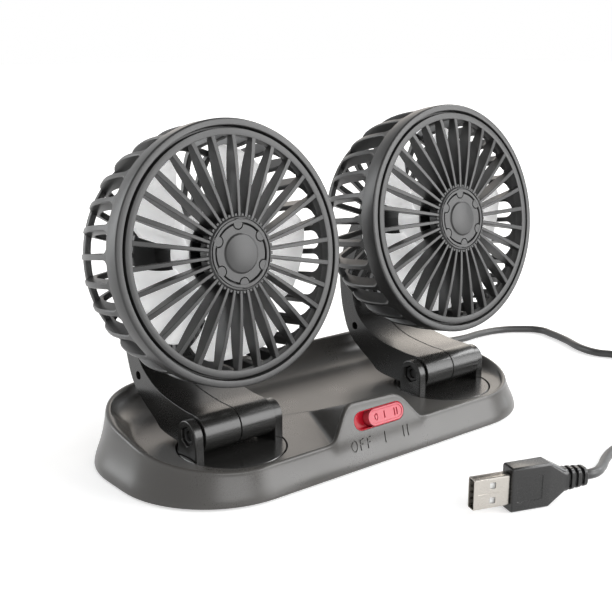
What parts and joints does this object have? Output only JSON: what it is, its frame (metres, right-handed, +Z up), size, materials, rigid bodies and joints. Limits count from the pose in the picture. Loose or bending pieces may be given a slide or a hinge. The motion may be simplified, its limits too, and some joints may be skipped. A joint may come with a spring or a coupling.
{
  "type": "dual head car fan",
  "caption": "Dashboard fan with caged heads on folding arms over turntables in a long rounded base, with a slide switch and a corded USB plug.",
  "frame": {"origin": "middle of the base at the height of the surface it stands on", "axes": "+X to the fan's right along the base, +Y to its back, -Y the side the heads blow to, +Z up"},
  "size_m": [0.3059, 0.2005, 0.1396],
  "materials": {
    "base_plastic": "satin gunmetal moulding",
    "arm_plastic": "satin dark grey moulding",
    "head_plastic": "fine matt dark grey moulding",
    "black_plastic": "semi-gloss black moulding",
    "milky_plastic": "milky white blade plastic",
    "red_plastic": "glossy red moulding",
    "light_red_plastic": "satin light red moulding",
    "white_plastic": "plain white moulding",
    "cord_jacket": "smooth dark grey jacket",
    "foot_rubber": "matt black rubber",
    "steel": "plain bright steel",
    "circuit_board": "green laminate"
  },
  "bodies": {
    "base": {"base_top_shell": "base_plastic", "base_bottom_plate": "black_plastic", "plug_overmould": "black_plastic", "base_screw_1": "steel", "base_screw_2": "steel", "base_screw_3": "steel", "base_screw_4": "steel", "switch_body": "steel", "plug_shell": "steel", "foot_pad_1": "foot_rubber", "foot_pad_2": "foot_rubber", "foot_pad_3": "foot_rubber", "foot_pad_4": "foot_rubber", "circuit_board": "circuit_board", "switch_well": "red_plastic", "cord_strain_relief": "cord_jacket", "cord_back_run": "cord_jacket", "cord_coil": "cord_jacket", "cord_plug_run": "cord_jacket", "plug_tongue": "white_plastic"},
    "switch_slider": {"switch_knob": "light_red_plastic"},
    "left_turntable": {"left_turntable": "arm_plastic", "left_swivel_retainer": "black_plastic", "left_hinge_pin": "steel", "left_hinge_nut": "steel"},
    "left_arm": {"left_arm_left_half": "arm_plastic", "left_arm_right_half": "arm_plastic", "left_arm_screw_lower": "steel", "left_arm_screw_upper": "steel", "left_tilt_pin": "steel"},
    "left_head": {"left_rear_shell": "head_plastic", "left_front_grille": "head_plastic", "left_hub_cap": "head_plastic", "left_motor": "steel"},
    "left_impeller": {"left_impeller": "milky_plastic", "left_rotor_hub": "black_plastic", "left_motor_shaft": "steel"},
    "right_turntable": {"right_turntable": "arm_plastic", "right_swivel_retainer": "black_plastic", "right_hinge_pin": "steel", "right_hinge_nut": "steel"},
    "right_arm": {"right_arm_left_half": "arm_plastic", "right_arm_right_half": "arm_plastic", "right_arm_screw_lower": "steel", "right_arm_screw_upper": "steel", "right_tilt_pin": "steel"},
    "right_head": {"right_rear_shell": "head_plastic", "right_front_grille": "head_plastic", "right_hub_cap": "head_plastic", "right_motor": "steel"},
    "right_impeller": {"right_impeller": "milky_plastic", "right_rotor_hub": "black_plastic", "right_motor_shaft": "steel"}
  },
  "joints": [
    {"name": "switch_slide", "type": "slide", "parent": "base", "child": "switch_slider", "axis": [1, 0, 0], "range_m": [-0.0065, 0]},
    {"name": "left_swivel", "type": "hinge", "parent": "base", "child": "left_turntable", "pos_m": [-0.0594, -0.0176, 0.012], "axis": [0, 0, 1], "range_deg": [-150, 150]},
    {"name": "left_arm_fold", "type": "hinge", "parent": "left_turntable", "child": "left_arm", "pos_m": [-0.0594, -0.0173, 0.021], "axis": [1, 0, 0], "range_deg": [-2, 60]},
    {"name": "left_head_tilt", "type": "hinge", "parent": "left_arm", "child": "left_head", "pos_m": [-0.0594, 0.0234, 0.0825], "axis": [1, 0, 0], "range_deg": [-52, 12]},
    {"name": "left_blade_spin", "type": "hinge", "parent": "left_head", "child": "left_impeller", "pos_m": [-0.0594, -0.02097, 0.09001], "axis": [0, 0.986, -0.1668], "continuous": true},
    {"name": "right_swivel", "type": "hinge", "parent": "base", "child": "right_turntable", "pos_m": [0.0594, -0.0176, 0.012], "axis": [0, 0, 1], "range_deg": [-150, 150]},
    {"name": "right_arm_fold", "type": "hinge", "parent": "right_turntable", "child": "right_arm", "pos_m": [0.0594, -0.0173, 0.021], "axis": [1, 0, 0], "range_deg": [-2, 60]},
    {"name": "right_head_tilt", "type": "hinge", "parent": "right_arm", "child": "right_head", "pos_m": [0.0594, 0.0234, 0.0825], "axis": [1, 0, 0], "range_deg": [-52, 12]},
    {"name": "right_blade_spin", "type": "hinge", "parent": "right_head", "child": "right_impeller", "pos_m": [0.0594, -0.02094, 0.09016], "axis": [0, 0.9854, -0.1702], "continuous": true}
  ]
}
